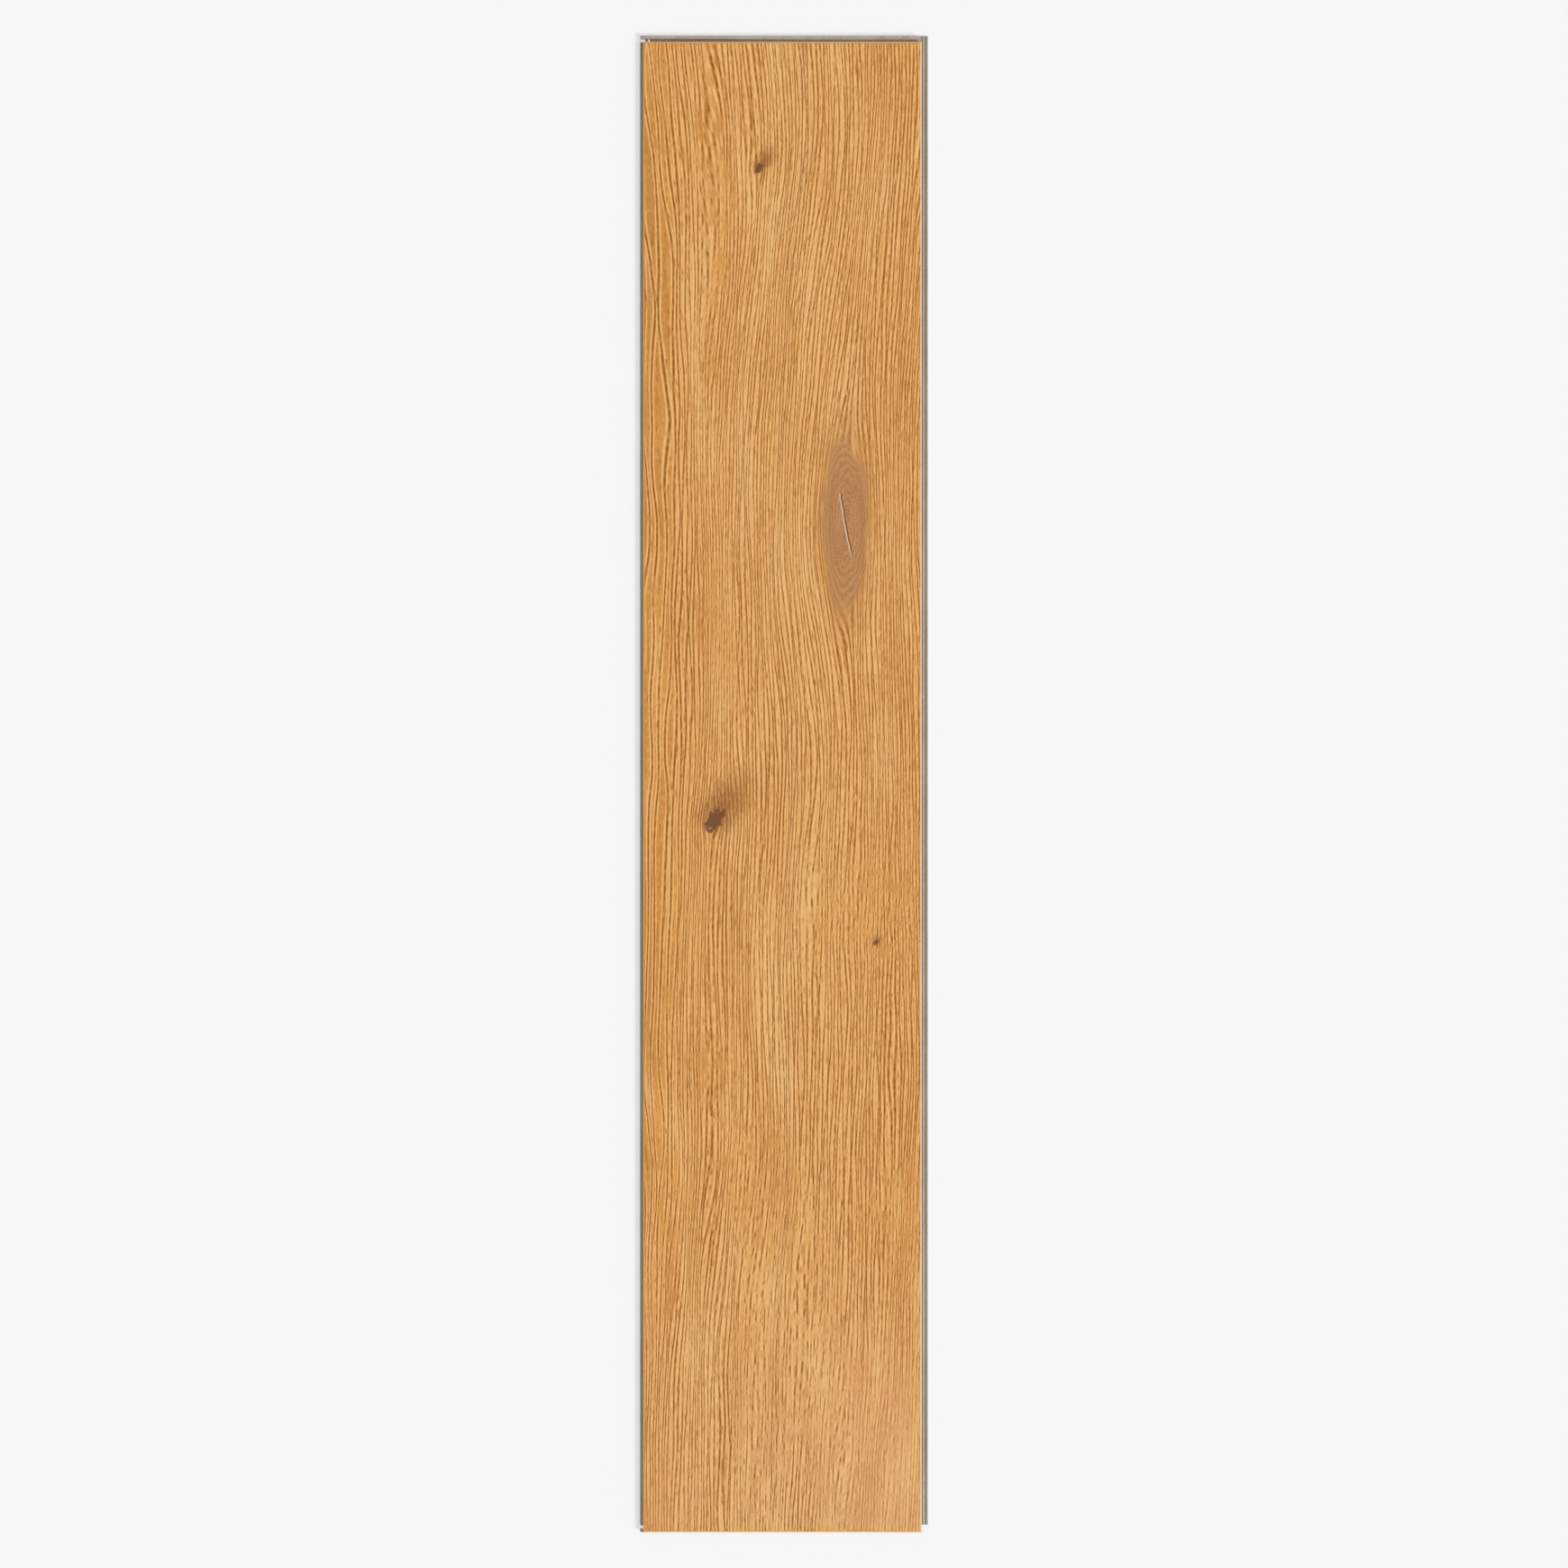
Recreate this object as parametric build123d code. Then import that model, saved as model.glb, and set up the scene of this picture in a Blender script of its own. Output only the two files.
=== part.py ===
from build123d import *
import os
from math import radians, tan

# Laid face of one plank, seam to seam, and its full thickness
FACE_WIDTH = 228.0
FACE_LENGTH = 1220.0
THICKNESS = 6.0

# Micro-bevel round the four edges of the face
BEVEL_RUN = 1.1
BEVEL_DROP = 0.5

# Play between mating faces; only the seam faces under the bevels meet
CLEARANCE = 0.05
POCKET = 0.25

# Heights above the underside that the side lock and the end lock share
CHANNEL_Z = 1.2
SEAT_Z = 2.0
CEILING_Z = 3.7

# Side lock: angled in, with the tongue in the groove and the lip in the recess
TONGUE_REACH = 2.6
TONGUE_TOP_RADIUS = 0.5
TONGUE_FOOT_RADIUS = 1.0
TONGUE_ROOT_RADIUS = 0.2
MOUTH_CHAMFER = 0.35
DISH_Z = 1.6
DISH_BACK = 1.5
DISH_FRONT = 0.3
SEAT_START = 0.8
SEAT_END = 1.5
HEEL_RUN = 0.5
LIP_START = 3.5
LIP_END = 5.2
LOCK_ANGLE = 60.0
LIP_RADIUS = 0.2
LIP_NOSE_RADIUS = 0.4

# End lock: dropped straight down, hook over hook, with a catch in the seam wall
SLOT_WIDTH = 2.8
HOOK_WIDTH = 2.6
HOOK_LEAN = 0.12
HOOK_RADIUS = 0.35
CATCH_Z = 3.0
CATCH_HALF = 0.35
CATCH_DEPTH = 0.25

SHARP = 0.0

LOCK_RUN = (SEAT_Z - CHANNEL_Z) / tan(radians(LOCK_ANGLE))
HOOK_END = SLOT_WIDTH + HOOK_WIDTH

# How far a cutting section runs past the stock, and how far the bevel's slope carries it in
OVERRUN = 1.0
BEVEL_OVERRUN = OVERRUN * BEVEL_RUN / BEVEL_DROP

# Each lock line runs down from the face to the underside. A corner is (across, up, radius),
# with across measured from the seam towards the neighbour that carries the tongue or hook.


def side_groove():
    depth = TONGUE_REACH + POCKET
    return [
        (-BEVEL_RUN, THICKNESS, SHARP),
        (0, THICKNESS - BEVEL_DROP, SHARP),
        (0, CEILING_Z + MOUTH_CHAMFER, SHARP),
        (-MOUTH_CHAMFER, CEILING_Z, SHARP),
        (-depth, CEILING_Z, TONGUE_TOP_RADIUS),
        (-depth, SEAT_Z, TONGUE_TOP_RADIUS),
        (-DISH_BACK, DISH_Z, TONGUE_TOP_RADIUS),
        (DISH_FRONT, DISH_Z, TONGUE_TOP_RADIUS),
        (SEAT_START, SEAT_Z, LIP_RADIUS),
        (SEAT_END, SEAT_Z, LIP_RADIUS),
        (SEAT_END + HEEL_RUN, CHANNEL_Z, LIP_RADIUS),
        (LIP_START, CHANNEL_Z, LIP_RADIUS),
        (LIP_START + LOCK_RUN, SEAT_Z, LIP_RADIUS),
        (LIP_END, SEAT_Z, LIP_NOSE_RADIUS),
        (LIP_END, 0, SHARP),
    ]


def side_tongue():
    recess_end = LIP_END + POCKET
    return [
        (BEVEL_RUN, THICKNESS, SHARP),
        (0, THICKNESS - BEVEL_DROP, SHARP),
        (0, CEILING_Z - CLEARANCE, TONGUE_ROOT_RADIUS),
        (-TONGUE_REACH, CEILING_Z - CLEARANCE, TONGUE_TOP_RADIUS),
        (-TONGUE_REACH, SEAT_Z + CLEARANCE, TONGUE_FOOT_RADIUS),
        (SEAT_END + CLEARANCE, SEAT_Z + CLEARANCE, LIP_RADIUS),
        (SEAT_END + HEEL_RUN + CLEARANCE, CHANNEL_Z + CLEARANCE, LIP_RADIUS),
        (LIP_START - CLEARANCE, CHANNEL_Z + CLEARANCE, LIP_RADIUS),
        (LIP_START + LOCK_RUN - CLEARANCE, SEAT_Z + CLEARANCE, LIP_RADIUS),
        (recess_end, SEAT_Z + CLEARANCE, LIP_RADIUS),
        (recess_end, 0, SHARP),
    ]


def end_lip():
    return [
        (-BEVEL_RUN - BEVEL_OVERRUN, THICKNESS + OVERRUN, SHARP),
        (0, THICKNESS - BEVEL_DROP, SHARP),
        (0, CATCH_Z + CATCH_HALF, SHARP),
        (-CATCH_DEPTH, CATCH_Z, SHARP),
        (0, CATCH_Z - CATCH_HALF, SHARP),
        (0, SEAT_Z, HOOK_RADIUS),
        (SLOT_WIDTH, SEAT_Z, HOOK_RADIUS),
        (SLOT_WIDTH - HOOK_LEAN, CEILING_Z, HOOK_RADIUS),
        (HOOK_END, CEILING_Z, HOOK_RADIUS),
        (HOOK_END, -OVERRUN, SHARP),
    ]


def end_fold():
    wall_end = HOOK_END + POCKET
    return [
        (BEVEL_RUN + BEVEL_OVERRUN, THICKNESS + OVERRUN, SHARP),
        (0, THICKNESS - BEVEL_DROP, SHARP),
        (0, CATCH_Z + CATCH_HALF, SHARP),
        (CLEARANCE - CATCH_DEPTH, CATCH_Z, SHARP),
        (CLEARANCE, CATCH_Z - CATCH_HALF, SHARP),
        (CLEARANCE, SEAT_Z + CLEARANCE, HOOK_RADIUS),
        (SLOT_WIDTH - CLEARANCE, SEAT_Z + CLEARANCE, HOOK_RADIUS),
        (SLOT_WIDTH - HOOK_LEAN - CLEARANCE, CEILING_Z + CLEARANCE, HOOK_RADIUS),
        (wall_end, CEILING_Z + CLEARANCE, HOOK_RADIUS),
        (wall_end, -OVERRUN, SHARP),
    ]


def board_section(female, male, span):
    """Closed section with the female lock at the positive end and the male lock at the other."""
    right = [(span / 2 + across, up, radius) for across, up, radius in female]
    left = [(across - span / 2, up, radius) for across, up, radius in reversed(male)]
    corners = right + left
    points = [(across, up) for across, up, radius in corners]
    radii = [radius for across, up, radius in corners]
    return make_face(FilletPolyline(*points, radius=radii, close=True))


def plank():
    """Board as its edges are milled: the side locks along it, the end locks across it."""
    side_section = board_section(side_groove(), side_tongue(), FACE_WIDTH)
    end_section = board_section(end_lip(), end_fold(), FACE_LENGTH)
    along = FACE_LENGTH / 2 + HOOK_END + OVERRUN
    across = FACE_WIDTH / 2 + LIP_END + OVERRUN
    milled_sides = extrude(Plane.XZ * side_section, amount=along, both=True)
    milled_ends = extrude(Plane.YZ * end_section, amount=across, both=True)
    return milled_sides & milled_ends


board = plank().solids()[0]
board.label = "plank"
os.makedirs("parts", exist_ok=True)
export_step(board, "parts/plank.step")
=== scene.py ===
import bpy
import bmesh
import math
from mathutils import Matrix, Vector


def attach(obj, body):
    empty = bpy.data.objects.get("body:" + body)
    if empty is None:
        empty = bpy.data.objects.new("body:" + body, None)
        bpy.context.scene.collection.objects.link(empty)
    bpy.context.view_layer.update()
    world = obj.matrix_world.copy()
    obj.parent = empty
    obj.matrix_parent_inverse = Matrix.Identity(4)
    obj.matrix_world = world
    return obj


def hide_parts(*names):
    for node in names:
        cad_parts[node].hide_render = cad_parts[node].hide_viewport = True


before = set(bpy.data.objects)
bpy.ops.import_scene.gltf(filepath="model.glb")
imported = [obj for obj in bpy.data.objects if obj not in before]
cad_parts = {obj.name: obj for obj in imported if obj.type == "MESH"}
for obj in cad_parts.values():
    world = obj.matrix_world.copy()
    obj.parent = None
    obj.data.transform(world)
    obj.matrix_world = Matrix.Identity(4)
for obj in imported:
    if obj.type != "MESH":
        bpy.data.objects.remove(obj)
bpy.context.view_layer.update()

MM = 0.001

# Sizes of the board, in millimetres, as in the part
FACE_W, FACE_L, THICK = 228.0, 1220.0, 6.0
BEVEL_RUN, BEVEL_DROP = 1.1, 0.5
# No lock reaches farther than this from the edge of the face, outwards or inwards
LOCK_REACH = 6.5

# The grid on the printed face, and how deep it is pressed, in millimetres: in a full pore line, and
# in the slow swell that follows the tone
CELLS_X, CELLS_Y = 400, 236
PORE_DEPTH, SWELL_DEPTH = 0.03, 0.02

# How far apart the dark grain lines stand where nothing spreads them, in millimetres
LINE_PITCH = 2.85

# The finest grain and the core's grit, too fine for the grid: how deep they look, in millimetres
PRINT_BUMP, CORE_BUMP = 0.05, 0.04
PRINT_SPECULAR, CORE_SPECULAR = 0.3, 0.35

# Knots, in millimetres. The large one is a brown oval with a drying crack: centre across and along,
# half width and half length. The small ones have a dark heart, and a brown smear runs up and to the
# right of each: centre across and along, half width of the heart, length of the smear
OVAL = (52.0, 215.0, 19.0, 68.0)
HEARTS = ((-58.0, -30.0, 7.2, 66.0), (-20.0, 505.0, 3.2, 30.0), (76.0, -128.0, 1.7, 9.0))
CRACK_HALF, CRACK_FADE, CRACK_SLANT = 29.0, 7.0, 0.2

# What the camera looks at, in millimetres: the whole board with a narrow margin
VIEW_CENTRE = (1.3, 2.6)
VIEW_WIDTH = 1283.0
SENSOR, LENS, VIEW_END = 36.0, 85.0, 100.0

# The floor, in metres: its size and how far below the board it lies. Then how much light it gives
# back, how far it goes to white where it is seen, and the tone that it then has
FLOOR_SIZE, FLOOR_GAP = 60.0, 0.0001
FLOOR_GIVES, FLOOR_WHITENED, FLOOR_SEEN = 0.9, 0.55, 0.932

# Even light from all round, and a broad soft key from the right and the near end
SKY = 0.42
KEY_POWER, KEY_SPREAD, KEY_FROM = 2.83, 22.0, (0.78, -0.5, 0.66)


def srgb(red, green, blue):
    """A colour written as on a screen, 0 to 255, in the linear values that nodes take."""
    def linear(c):
        c = c / 255
        return c / 12.92 if c <= 0.04045 else ((c + 0.055) / 1.055) ** 2.4
    return (linear(red), linear(green), linear(blue), 1.0)


# The wood's own range, then what lies over it, from wide shades down to lines and edges
WOOD_DEEP, WOOD_LIGHT = srgb(211, 146, 63), srgb(238, 177, 97)
BROAD_SHADE, TONE_SHADE = srgb(216, 148, 70), srgb(190, 124, 62)
PATCH_DEEP, PATCH_PINK = srgb(218, 142, 60), srgb(228, 168, 118)
# The pink towards the near end is a painted sheen
MIDDLE_PALE, EDGE_BROWN, END_SHEEN_PINK = srgb(246, 194, 120), srgb(206, 134, 50), srgb(236, 180, 134)
STREAK_BROWN = srgb(180, 132, 86)
FIBRE_DARK, FIBRE_PALE = srgb(188, 122, 50), srgb(252, 200, 126)
SPECK_DARK, SPECK_PALE = srgb(184, 120, 56), srgb(250, 204, 140)
ZONE_DARK, ZONE_PALE = srgb(184, 116, 50), srgb(255, 214, 144)
# The pale edge beside the dark lines is partly print and partly painted highlight
LINE_DARK, LINE_EDGE_HIGHLIGHT = srgb(146, 84, 14), srgb(250, 198, 128)
# The bevels' paint is paler than the print, partly as painted sheen
RIM_LINE, BEVEL_PAINT_SHEEN = srgb(150, 92, 40), srgb(244, 198, 138)

# The knots
RING_DARK, RING_PALE = srgb(170, 117, 70), srgb(192, 140, 92)
KNOT_SHADE, KNOT_SPECK, KNOT_FLECK = srgb(152, 100, 60), srgb(132, 84, 52), srgb(224, 182, 134)
KNOT_HALO, KNOT_SMEAR = srgb(184, 124, 68), srgb(146, 88, 40)
HEART_DARK, HEART_BROWN = srgb(102, 62, 38), srgb(134, 92, 64)
CRACK_DARK, CRACK_LIP = srgb(88, 54, 30), srgb(232, 202, 164)

# The core, and the cut edge of the print above it
CORE_DEEP, CORE_LIGHT = srgb(168, 158, 142), srgb(181, 172, 157)
GRIT_DARK, GRIT_PALE, MILLED_DARK = srgb(122, 112, 98), srgb(212, 206, 194), srgb(146, 136, 120)
FILM_BROWN = srgb(168, 112, 56)


class Field:
    """A number that varies over the surface, in a shader or geometry tree."""

    def __init__(self, tree, socket):
        self.tree, self.socket = tree, socket

    def math(self, operation, *others):
        node = self.tree.nodes.new("ShaderNodeMath")
        node.operation = operation
        self.tree.links.new(self.socket, node.inputs[0])
        for i, other in enumerate(others, 1):
            if isinstance(other, Field):
                self.tree.links.new(other.socket, node.inputs[i])
            else:
                node.inputs[i].default_value = other
        return Field(self.tree, node.outputs[0])

    def __add__(self, other):
        return self.math("ADD", other)

    def __sub__(self, other):
        return self.math("SUBTRACT", other)

    def __rsub__(self, other):
        return self.math("MULTIPLY", -1.0) + other

    def __mul__(self, other):
        return self.math("MULTIPLY", other)

    def __truediv__(self, other):
        return self.math("DIVIDE", other)

    def __pow__(self, power):
        return self.math("POWER", power)

    def root(self):
        return self.math("SQRT")

    def size(self):
        return self.math("ABSOLUTE")

    def least(self, other):
        return self.math("MINIMUM", other)

    def most(self, other):
        return self.math("MAXIMUM", other)

    def floor(self):
        return self.math("FLOOR")

    def wave(self):
        return self.math("COSINE")

    def ramp(self, low, high):
        """0 where the field is at low and 1 at high, eased at both ends; low may be the larger."""
        if low > high:
            return 1.0 - self.ramp(high, low)
        node = self.tree.nodes.new("ShaderNodeMapRange")
        node.interpolation_type = "SMOOTHSTEP"
        node.inputs["From Min"].default_value = low
        node.inputs["From Max"].default_value = high
        self.tree.links.new(self.socket, node.inputs["Value"])
        return Field(self.tree, node.outputs[0])

    def blend(self, low, high):
        """Goes from low to high as this field goes from 0 to 1."""
        return self * (high - low) + low


def noise(x, y, seed, detail=0.0, z=None):
    """Smooth noise around 0, at most about 0.5 either way, one cell to each unit of x, y and z. So
    x / 38 and y / 130 in millimetres make cells 38 wide and 130 long."""
    tree = x.tree
    shift_x, shift_y = 37.31, 19.73
    joined = tree.nodes.new("ShaderNodeCombineXYZ")
    tree.links.new((x + shift_x * seed).socket, joined.inputs[0])
    tree.links.new((y + shift_y * seed).socket, joined.inputs[1])
    node = tree.nodes.new("ShaderNodeTexNoise")
    node.noise_dimensions = "2D"
    if z is not None:
        node.noise_dimensions = "3D"
        tree.links.new(z.socket, joined.inputs[2])
    node.inputs["Scale"].default_value = 1.0
    node.inputs["Detail"].default_value = detail
    tree.links.new(joined.outputs[0], node.inputs["Vector"])
    return Field(tree, node.outputs[0]) - 0.5


def pore_lines(bent, along, packed, long, rough):
    """Broken dark lines, one pitch apart where packed is 1 and farther where it is less, their pale
    edges, which are partly print and partly painted highlight on the pressed grooves, and fainter
    lines between them. Where long is 1 the lines run on, where it is 0 they are ticks. Their edges
    move by rough, in millimetres."""
    # Half widths, and where the pale edge, partly painted highlight, begins and ends beside a line, in
    # millimetres
    core_half, faint_half = 0.85, 0.75
    pale_rise, pale_fall = (0.5, 1.2), (2.3, 1.35)
    # How far a line strays, in pitches, and what is left of it in its gaps
    stray_most, faint_stray = 1.3, 1.2
    least_strength, long_strength = 0.14, 0.22
    # Far enough apart that no two lines share their noise
    key_step, faint_key_step = 5.37, 7.13

    u = bent / LINE_PITCH
    below = u.floor()
    dark, pale = None, None
    for step in (0.0, 1.0):
        line = below + step
        key = line * key_step
        stray = noise(key, along / 75, seed=101) * stray_most
        gate = noise(key, along / 12, seed=103, detail=1.0) + long * 0.15
        strength = gate.ramp(-0.13, 0.17)
        strength = (1.0 - strength) * (long * long_strength + least_strength) + strength
        away = (u - line - stray).size() * LINE_PITCH / packed + rough
        core = away.ramp(core_half, 0.0) * strength
        edge = away.ramp(*pale_rise) * away.ramp(*pale_fall) * strength
        dark = core if dark is None else dark.most(core)
        pale = edge if pale is None else pale.most(edge)
    key = below * faint_key_step
    stray = noise(key, along / 60, seed=107) * faint_stray
    away = (u - below - 0.5 - stray).size() * LINE_PITCH / packed
    broken = noise(key, along / 9, seed=109, detail=1.0).ramp(-0.1, 0.2)
    faint = away.ramp(faint_half, 0.0) * broken * 0.6
    return dark.most(faint), pale * (1.0 - dark) * (1.0 - faint)


def laid_lines(x, y):
    """How the grain lines lie: x as it would be if they ran straight, how closely they are packed,
    and a slow wander that other things share."""
    # Along the left edge the lines stand up to three times as far apart in the upper part of the
    # board, so the lines beside them lean there; those on the right lean evenly
    fan_at, fan_soft, fan_room = -88, 10, 0.32
    fan_shift, fan_share, right_lean = 17, 0.9, 17
    drift_most, sway_most = 46, (9, 1.8, 0.5)
    from_fan = x - fan_at
    eased = (from_fan * from_fan + fan_soft * fan_soft).root()
    rise = y.ramp(-500, -270)
    opened = ((from_fan - eased) * fan_room + fan_shift) * rise * fan_share
    lean = x.ramp(-40, 60).blend(opened, y.ramp(-760, -180) * right_lean)
    packed = 1.0 - rise * (1.0 - from_fan / eased) * fan_room
    bulge = (y + 330).size().ramp(95, 0) * x.ramp(-80, -116) * 2
    drift = noise(x / 190, y / 420, seed=3) * y.ramp(-240, 100) * drift_most
    sway = noise(x / 26, y / 230, seed=13) * sway_most[0]
    sway = sway + noise(x / 14, y / 110, seed=17) * sway_most[1]
    sway = sway + noise(x / 7, y / 28, seed=19) * sway_most[2]
    wander = noise(x / 38, y / 130, seed=11)
    return x - lean - bulge + (drift + sway) * packed, packed, wander


def oval_knot(x, y, bent, wander):
    """The large knot. It pushes the lines aside; away is 1 on its outline."""
    push, core_room, sideways = 0.8, 0.3, 5
    ring_turns, ring_wobble, ring_jitter = 56, 11, 2
    crooked, lip_away = 9, 1.05
    centre_x, centre_y, half_w, half_l = OVAL
    across = x - centre_x + wander * sideways
    along = y - centre_y
    reach = across * across + along * along * (half_w / half_l) ** 2 + core_room * half_w * half_w
    bent = bent - across * (half_w * half_w) / reach * push
    away = ((across / half_w) ** 2 + (along / half_l) ** 2).root()
    out_of_line = noise(x / 1.4, y / 9, seed=85, detail=1.0)
    ragged = away + noise(x / 9, y / 24, seed=41, detail=3.0) * 0.6 + out_of_line * 0.12
    rings = away * ring_turns + noise(x / 8, y / 22, seed=79, detail=1.0) * ring_wobble
    rings = rings + out_of_line * ring_jitter
    # The crack is crooked and crosses the knot on a slant, with a pale lip on its left
    split = across + (along + noise(y / 12, y * 0, seed=83, detail=1.0) * crooked) * CRACK_SLANT
    inside = along.size().ramp(CRACK_HALF, CRACK_HALF - CRACK_FADE)
    return bent, away, {
        "oval": ragged.ramp(1.15, 0.82),
        "halo": ragged.ramp(1.7, 0.95),
        "ring": rings.wave(),
        "crack": split.size().ramp(0.75, 0.3) * inside,
        "crack_edge": (split + lip_away).size().ramp(0.9, 0.3) * inside}


def small_knots(x, y, bent):
    """The dark knots with their smears. They too push the lines aside."""
    heart, smear = None, None
    torn = noise(x / 5, y / 5, seed=91, detail=3.0)
    for centre_x, centre_y, half_w, reach in HEARTS:
        across, along = x - centre_x, y - centre_y
        bent = bent - across * (half_w * half_w) / (across * across + along * along * 0.5 + half_w * half_w)
        # Along the smear, which rises 4 for each 3 to the right, and across it
        run = across * 0.6 + along * 0.8
        side = across * 0.8 - along * 0.6
        dark = (((run - half_w * 0.5) / (half_w * 1.7)) ** 2 + (side / half_w) ** 2).root() + torn * 1.3
        dark = dark.ramp(1.0, 0.7)
        soft = (side + torn * half_w * 2.4).size()
        brown = soft.ramp(half_w * 3.4, half_w * 0.3) * run.ramp(-half_w * 2, half_w)
        brown = brown * run.ramp(reach, reach * 0.3)
        heart = dark if heart is None else heart.most(dark)
        smear = brown if smear is None else smear.most(brown)
    return bent, {"heart": heart, "smear": smear}


def decor(x, y):
    """The printed oak, from places in millimetres. The fields fibre, speck, zone, tone, patch and
    broad run around 0, ring runs from -1 to 1, and the others from 0 to about 1."""
    bent, packed, wander = laid_lines(x, y)
    bent, away, out = oval_knot(x, y, bent, wander)
    bent, dark_knots = small_knots(x, y, bent)
    out.update(dark_knots)

    out["fibre"] = noise(bent / 0.7, y / 5, seed=43, detail=2.0)
    out["speck"] = noise(x / 0.55, y / 0.8, seed=73, detail=1.0)
    out["zone"] = noise(bent / 24 + wander, y / 150, seed=117, detail=2.0) + x.ramp(-74, -108) * 0.12
    out["tone"] = noise(bent / 9, y / 150, seed=47, detail=2.0)
    out["patch"] = noise(bent / 2.4, y / 45, seed=53, detail=1.0)
    out["broad"] = noise(x / 90, y / 300, seed=59)
    out["streak"] = (bent + 11 + noise(bent / 20, y / 60, seed=61) * 6).size().ramp(4.5, 0.5)

    # Where the lines stand apart at the left they run on, and are a little darker and wider
    spread = x.ramp(-70, -96) * y.ramp(-440, -330)
    long = noise(x / 60, y / 190, seed=37) + y.ramp(-345, -265) * 0.35
    long = long + x.ramp(-20, -80) * y.ramp(-440, -560) * 0.3
    long = (long.ramp(0.0, 0.2) + spread * 0.8).least(1.0)
    rough = out["speck"] * 0.35 - spread * 0.05
    pore, pale = pore_lines(bent, y + x * y.ramp(-240, 0), packed, long, rough)
    # The lines are calmer towards both corners of the near end
    calm = 1.0 - x.ramp(0, 95) * y.ramp(-370, -560) * 0.45 - x.ramp(-40, -108) * y.ramp(-470, -600) * 0.35
    depth = noise(bent / 13, y / 110, seed=113, detail=2.0).ramp(-0.22, 0.2) * 0.16 + 0.9
    depth = depth - y.ramp(-235, -120) * 0.08 + spread * 0.14
    pore = pore * (out["fibre"] * 1.7 + out["speck"] * 0.9 + 0.97) * calm * depth
    out["pressed"] = pore * away.ramp(0.8, 1.1)
    out["pore"] = pore * (1.0 - out["oval"] * 0.75) * (1.0 - out["heart"])
    # The pale edges of the lines: partly print, partly painted highlight
    out["pale"] = pale * (1.0 - out["oval"] * 0.8) * (1.0 - out["heart"])

    # Paler down the middle and browner along the sides; pinker towards the near end, more on its right, as
    # a painted sheen
    out["middle"] = (x - 10).size().ramp(100, 8)
    out["brown"] = (y.ramp(-440, -220) * 0.55 + x.size().ramp(62, 112) * 0.6).least(1.15)
    out["end"] = y.ramp(-330, -640) * (x.ramp(-70, 110) * 0.5 + 0.5)
    return out


def places(tree, count):
    """The coordinates of a point on the board, in millimetres."""
    if tree.bl_idname == "GeometryNodeTree":
        socket = tree.nodes.new("GeometryNodeInputPosition").outputs[0]
    else:
        socket = tree.nodes.new("ShaderNodeTexCoord").outputs["Object"]
    parts = tree.nodes.new("ShaderNodeSeparateXYZ")
    tree.links.new(socket, parts.inputs[0])
    return [Field(tree, parts.outputs[i]) / MM for i in range(count)]


def mixed(tree, amount, first, second):
    """The first colour where amount is 0 and the second where it is 1."""
    # The node has places for numbers and vectors before those for colours
    first_place, second_place, result_place = 6, 7, 2
    node = tree.nodes.new("ShaderNodeMix")
    node.data_type = "RGBA"
    tree.links.new(amount.socket, node.inputs[0])
    for value, place in ((first, first_place), (second, second_place)):
        if isinstance(value, tuple):
            node.inputs[place].default_value = value
        else:
            tree.links.new(value, node.inputs[place])
    return node.outputs[result_place]


def layered(tree, colour, *layers):
    """Lays other colours over the first, one after another, each as strongly as its own field."""
    for amount, other in layers:
        colour = mixed(tree, amount, colour, other)
    return colour


def finished(shader, colour, rough, height, bump_depth, specular):
    """Connects what a material needs to its shader."""
    tree = shader.id_data
    bump = tree.nodes.new("ShaderNodeBump")
    bump.inputs["Distance"].default_value = bump_depth * MM
    tree.links.new(height.socket, bump.inputs["Height"])
    tree.links.new(bump.outputs[0], shader.inputs["Normal"])
    tree.links.new(colour, shader.inputs["Base Color"])
    tree.links.new(rough.socket, shader.inputs["Roughness"])
    shader.inputs["Specular IOR Level"].default_value = specular


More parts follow.
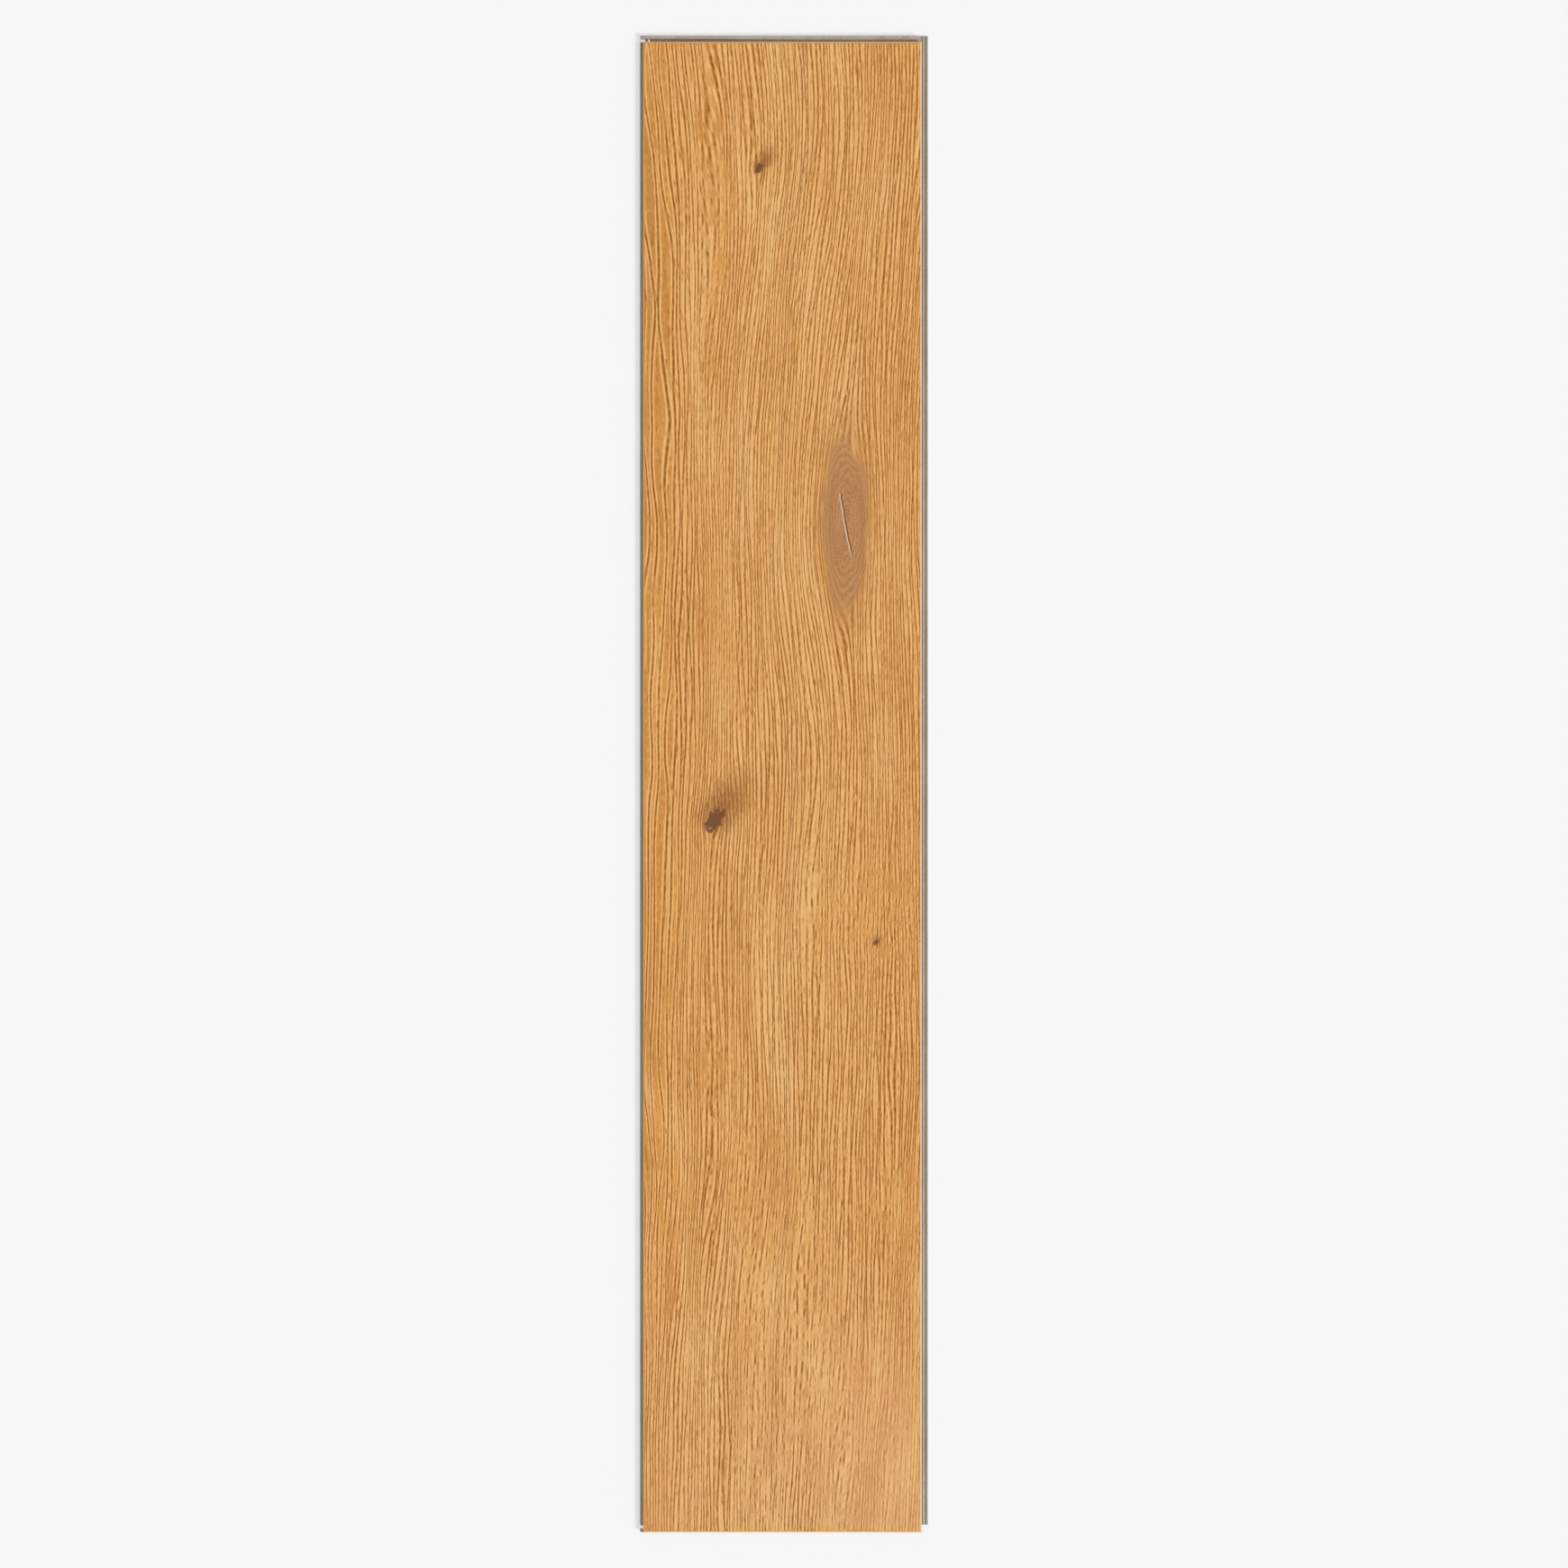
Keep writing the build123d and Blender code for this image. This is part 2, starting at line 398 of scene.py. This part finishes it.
def face_material():
    """The printed film under its wear coat, with painted bevels whose pale paint is partly painted sheen.
    """
    material = bpy.data.materials.new("oak_print")
    material.use_nodes = True
    tree = material.node_tree
    x, y = places(tree, 2)
    d = decor(x, y)
    # How far inside the bevels
    inside = ((FACE_W / 2 - BEVEL_RUN) - x.size()).least((FACE_L / 2 - BEVEL_RUN) - y.size())
    flat = inside.ramp(0.0, 0.12)
    rim = inside.ramp(0.0, 0.1) * inside.ramp(0.75, 0.2)

    wood = layered(
        tree, mixed(tree, d["tone"].ramp(-0.22, 0.22), WOOD_DEEP, WOOD_LIGHT),
        (d["broad"].ramp(0.12, -0.12) * 0.35, BROAD_SHADE),
        (d["patch"].ramp(0.02, 0.2) * 0.5, PATCH_DEEP),
        # The pink patches grow stronger towards the near end: partly random tone, partly painted sheen
        (d["patch"].ramp(-0.02, -0.2) * (d["end"] * 0.35 + 0.4), PATCH_PINK),
        (d["middle"] * 0.36, MIDDLE_PALE),
        (d["brown"] * 0.55, EDGE_BROWN),
        # Pinker towards the near end and its right: painted sheen
        (d["end"] * 0.75, END_SHEEN_PINK),
        (d["streak"] * 0.45, STREAK_BROWN),
        (d["fibre"].ramp(-0.05, 0.28) * 0.42, FIBRE_DARK),
        (d["fibre"].ramp(-0.02, -0.28) * 0.42, FIBRE_PALE),
        (d["speck"].ramp(-0.15, 0.2) * 0.3, SPECK_DARK),
        (d["speck"].ramp(0.0, -0.25) * 0.3, SPECK_PALE),
        (d["zone"].ramp(-0.02, 0.26) * 0.36, ZONE_DARK),
        (d["zone"].ramp(0.02, -0.24) * 0.34, ZONE_PALE),
        (d["tone"].ramp(0.02, -0.24) * 0.2, TONE_SHADE),
        # Pale edges beside the grain lines: partly print, partly painted highlight
        (d["pale"] * flat * 0.8, LINE_EDGE_HIGHLIGHT),
        (rim * 0.45, RIM_LINE),
        (d["pore"] * (flat * 0.4 + 0.6), LINE_DARK),
        # The painted bevels, their colour made paler partly as painted sheen
        ((1.0 - flat) * (d["fibre"] * 0.6 + 0.78), BEVEL_PAINT_SHEEN))
    knot = layered(
        tree, mixed(tree, d["ring"].ramp(-0.9, 0.9), RING_DARK, RING_PALE),
        (d["tone"].ramp(-0.05, 0.2) * 0.5, KNOT_SHADE),
        (d["speck"].ramp(0.0, 0.22) * 0.55, KNOT_SPECK),
        (d["speck"].ramp(-0.04, -0.2) * 0.6, KNOT_FLECK))
    heart = mixed(tree, d["speck"].ramp(-0.25, 0.1), HEART_BROWN, HEART_DARK)
    wood = layered(
        tree, wood,
        (d["smear"] * (d["fibre"] * 0.6 + 0.72), KNOT_SMEAR),
        (d["halo"] * 0.42, KNOT_HALO),
        (d["oval"] * 0.84, knot),
        (d["crack_edge"] * 0.75, CRACK_LIP),
        (d["crack"] * 0.9, CRACK_DARK),
        (d["heart"] * 0.94, heart))

    height = (d["fibre"] * 0.25 - d["pressed"] - d["crack"]) * flat
    rough = d["pore"] * 0.12 + d["fibre"] * 0.1 + 0.46
    finished(tree.nodes["Principled BSDF"], wood, rough, height, PRINT_BUMP, PRINT_SPECULAR)
    return material


def core_material():
    """The filled plastic below the print: mottled, with mineral specks, and milled along the edges."""
    material = bpy.data.materials.new("pressed_core")
    material.use_nodes = True
    tree = material.node_tree
    x, y, z = places(tree, 3)
    cloud = noise(x / 14, y / 30, seed=7, detail=3.0, z=z / 5)
    speck = noise(x / 0.7, y / 0.7, seed=9, detail=1.0, z=z / 0.7)
    milled = noise(x / 3 + z * 7, y / 260 + z * 3, seed=21, detail=2.0)
    # The print ends a little below the rim of the bevel
    rim = THICK - BEVEL_DROP
    film_low, film_full = 0.22, 0.1
    film = (z + noise(x / 4, y / 4, seed=27, detail=2.0) * 0.1).ramp(rim - film_low, rim - film_full)
    colour = layered(
        tree, mixed(tree, cloud.ramp(-0.2, 0.2), CORE_DEEP, CORE_LIGHT),
        (speck.ramp(0.08, 0.2) * 0.5, GRIT_PALE),
        (speck.ramp(-0.1, -0.2) * 0.5, GRIT_DARK),
        (milled.ramp(0.0, 0.2) * 0.3, MILLED_DARK),
        (film, FILM_BROWN))
    height = milled * 0.8 + speck * 0.5
    rough = speck * 0.15 + cloud * 0.2 + 0.58
    finished(tree.nodes["Principled BSDF"], colour, rough, height, CORE_BUMP, CORE_SPECULAR)
    return material


def relief_tree():
    """Sinks the pore lines of the face, by at most a tenth of a millimetre."""
    tree = bpy.data.node_groups.new("pressed_grain", "GeometryNodeTree")
    tree.interface.new_socket("Geometry", in_out="INPUT", socket_type="NodeSocketGeometry")
    tree.interface.new_socket("Geometry", in_out="OUTPUT", socket_type="NodeSocketGeometry")
    into = tree.nodes.new("NodeGroupInput")
    outof = tree.nodes.new("NodeGroupOutput")
    x, y = places(tree, 2)
    d = decor(x, y)
    weight = tree.nodes.new("GeometryNodeInputNamedAttribute")
    weight.data_type = "FLOAT"
    weight.inputs["Name"].default_value = "relief"
    deep = d["pore"] * PORE_DEPTH + d["tone"].ramp(-0.2, 0.2) * SWELL_DEPTH
    sunk = deep * Field(tree, weight.outputs[0]) * -MM
    joined = tree.nodes.new("ShaderNodeCombineXYZ")
    tree.links.new(sunk.socket, joined.inputs[2])
    move = tree.nodes.new("GeometryNodeSetPosition")
    tree.links.new(into.outputs[0], move.inputs["Geometry"])
    tree.links.new(joined.outputs[0], move.inputs["Offset"])
    tree.links.new(move.outputs[0], outof.inputs[0])
    return tree


def unwrap(bm):
    """One wide strip for the printed face, and narrow ones beside it for the plain sides."""
    layer = bm.loops.layers.uv.new("OFBake")
    margin, steep = 0.004, 0.5
    print_right = 0.86
    # Right of the print: the underside, the two long sides and, above these, the two ends
    plain_left, under_right, plain_right, plain_top = 0.872, 0.93, 0.996, 0.9 - margin
    left_side, right_side, side_share = 0.934, 0.966, 0.014
    near_end, far_end, end_share = 0.905, 0.953, 0.02
    half_w, half_l = FACE_W / 2, FACE_L / 2
    reach_w, reach_l = half_w + LOCK_REACH, half_l + LOCK_REACH

    def share(value, low, high, start, stop):
        return start + (stop - start) * min(max((value - low) / (high - low), 0.0), 1.0)

    def stepped(out, up, width):
        """Places a stepped profile side by side: how far out it reaches, then how high it is."""
        return share(out, -LOCK_REACH, LOCK_REACH, 0.0, width) + share(up, 0.0, THICK, 0.0, width)

    for face in bm.faces:
        normal = face.normal
        middle = face.calc_center_median() / MM
        inner = abs(middle.x) < half_w - LOCK_REACH and abs(middle.y) < half_l - LOCK_REACH
        at_end = abs(normal.y) > steep or abs(middle.y) > half_l - LOCK_REACH and abs(normal.x) < steep
        for loop in face.loops:
            x, y, z = loop.vert.co / MM
            if face.material_index == 0:
                u = share(x, -half_w, half_w, margin, print_right)
                v = share(y, -half_l, half_l, margin, 1 - margin)
            elif abs(normal.z) > steep and inner:
                u = share(x, -reach_w, reach_w, plain_left, under_right)
                v = share(y, -reach_l, reach_l, margin, plain_top)
            elif at_end:
                u = share(x, -reach_w, reach_w, plain_left, plain_right)
                v = (near_end if middle.y < 0 else far_end) + stepped(abs(y) - half_l, z, end_share)
            else:
                u = (left_side if middle.x < 0 else right_side) + stepped(abs(x) - half_w, z, side_share)
                v = share(y, -reach_l, reach_l, margin, plain_top)
            loop[layer].uv = (u, v)


def opened_board():
    """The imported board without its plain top, its rim cut to the cells of the grid."""
    weld, upward, near = 1e-6, 0.3, 1e-5
    bm = bmesh.new()
    bm.from_mesh(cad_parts["plank"].data)
    bmesh.ops.remove_doubles(bm, verts=bm.verts[:], dist=weld)
    rim = (THICK - BEVEL_DROP) * MM
    top = [f for f in bm.faces if f.normal.z > upward and f.calc_center_median().z > rim + near]
    bmesh.ops.delete(bm, geom=top, context="FACES")
    border = [e for e in bm.edges if len(e.link_faces) == 1]
    for edge in border:
        a, b = (v.co.copy() for v in edge.verts)
        cells = CELLS_X if abs(a.x - b.x) > abs(a.y - b.y) else CELLS_Y
        bmesh.ops.subdivide_edges(bm, edges=[edge], cuts=cells - 1)
    bmesh.ops.triangulate(bm, faces=[f for f in bm.faces if len(f.verts) > 3])
    for face in bm.faces:
        face.material_index = 1
    return bm


def lay_grid(bm):
    """Adds the printed face, smooth and flat, and the bevels that join it to the rim."""
    relief = bm.verts.layers.float.new("relief")
    rim_verts = {}
    for v in bm.verts:
        if v.is_boundary:
            i = round((v.co.x / MM / FACE_W + 0.5) * CELLS_X)
            j = round((v.co.y / MM / FACE_L + 0.5) * CELLS_Y)
            rim_verts[i, j] = v
    half_w, half_l = FACE_W / 2 - BEVEL_RUN, FACE_L / 2 - BEVEL_RUN
    grid = []
    for j in range(CELLS_Y + 1):
        y = -half_l + 2 * half_l * j / CELLS_Y
        row = []
        for i in range(CELLS_X + 1):
            x = -half_w + 2 * half_w * i / CELLS_X
            vert = bm.verts.new((x * MM, y * MM, THICK * MM))
            inner = 0 < i < CELLS_X and 0 < j < CELLS_Y
            vert[relief] = 1.0 if inner else 0.0
            row.append(vert)
        grid.append(row)
    for j in range(CELLS_Y):
        for i in range(CELLS_X):
            face = bm.faces.new((grid[j][i], grid[j][i + 1], grid[j + 1][i + 1], grid[j + 1][i]))
            face.smooth = True

    loop = [(i, 0) for i in range(CELLS_X)] + [(CELLS_X, j) for j in range(CELLS_Y)]
    loop += [(i, CELLS_Y) for i in range(CELLS_X, 0, -1)] + [(0, j) for j in range(CELLS_Y, 0, -1)]
    for (i, j), (k, m) in zip(loop, loop[1:] + loop[:1]):
        bm.faces.new((rim_verts[i, j], rim_verts[k, m], grid[m][k], grid[j][i]))
    bm.normal_update()


def build_plank():
    """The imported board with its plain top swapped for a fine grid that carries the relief."""
    bm = opened_board()
    lay_grid(bm)
    unwrap(bm)
    for edge in bm.edges:
        if len(edge.link_faces) == 2:
            one, two = edge.link_faces
            if not (one.smooth and two.smooth):
                edge.smooth = False
    mesh = bpy.data.meshes.new("plank_board")
    bm.to_mesh(mesh)
    bm.free()
    plank = bpy.data.objects.new("plank_board", mesh)
    bpy.context.scene.collection.objects.link(plank)
    mesh.materials.append(face_material())
    mesh.materials.append(core_material())

    change = plank.modifiers.new("pressed_grain", "NODES")
    change.node_group = relief_tree()
    shown = plank.evaluated_get(bpy.context.evaluated_depsgraph_get())
    pressed = bpy.data.meshes.new_from_object(shown)
    plank.modifiers.clear()
    plank.data = pressed
    pressed.name = "plank_board"
    return plank


plank = build_plank()
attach(plank, "root")
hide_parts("plank")


def seen_rays(tree):
    """1 where the camera looks straight, or by a reflection or through glass, and 0 for plain light."""
    rays = tree.nodes.new("ShaderNodeLightPath")
    kinds = [Field(tree, rays.outputs[name]) for name in (
        "Is Camera Ray", "Is Glossy Ray", "Is Transmission Ray")]
    return (kinds[0] + kinds[1] + kinds[2]).least(1.0)


def stage():
    """The pale floor under the board."""
    bpy.ops.mesh.primitive_plane_add(size=FLOOR_SIZE, location=(0, 0, -FLOOR_GAP))
    floor = bpy.context.object
    floor.name = "floor"
    material = bpy.data.materials.new("pale_floor")
    material.use_nodes = True
    tree = material.node_tree
    shader = tree.nodes["Principled BSDF"]
    shader.inputs["Base Color"].default_value = (FLOOR_GIVES, FLOOR_GIVES, FLOOR_GIVES, 1)
    shader.inputs["Roughness"].default_value = 0.9
    shader.inputs["Specular IOR Level"].default_value = 0.0
    # What the camera sees of the floor is part way to white, so that the shadow stays
    white = tree.nodes.new("ShaderNodeEmission")
    mix = tree.nodes.new("ShaderNodeMixShader")
    tree.links.new((seen_rays(tree) * FLOOR_WHITENED).socket, mix.inputs[0])
    tree.links.new(shader.outputs[0], mix.inputs[1])
    tree.links.new(white.outputs[0], mix.inputs[2])
    tree.links.new(mix.outputs[0], tree.nodes["Material Output"].inputs["Surface"])
    floor.data.materials.append(material)


def light():
    """A white surround and one soft key, which shows in no reflection."""
    world = bpy.data.worlds.new("studio")
    bpy.context.scene.world = world
    world.use_nodes = True
    tree = world.node_tree
    back = tree.nodes["Background"]
    back.inputs[0].default_value = (1, 1, 1, 1)
    # Behind the floor the camera sees the tone that the floor has
    tree.links.new(seen_rays(tree).blend(SKY, FLOOR_SEEN).socket, back.inputs[1])
    data = bpy.data.lights.new("key", "SUN")
    data.energy = KEY_POWER
    data.angle = math.radians(KEY_SPREAD)
    key = bpy.data.objects.new("key", data)
    key.visible_glossy = False
    key.rotation_euler = Vector(KEY_FROM).to_track_quat("Z", "Y").to_euler()
    bpy.context.scene.collection.objects.link(key)


def camera():
    """Looks straight down, as in the photo, at a square VIEW_WIDTH wide round VIEW_CENTRE."""
    data = bpy.data.cameras.new("camera")
    cam = bpy.data.objects.new("camera", data)
    bpy.context.scene.collection.objects.link(cam)
    data.sensor_width = SENSOR
    data.lens = LENS
    data.clip_end = VIEW_END
    height = VIEW_WIDTH * LENS / SENSOR + THICK
    cam.location = (VIEW_CENTRE[0] * MM, VIEW_CENTRE[1] * MM, height * MM)
    bpy.context.scene.camera = cam


stage()
light()
camera()
bpy.context.scene.view_settings.view_transform = "Standard"
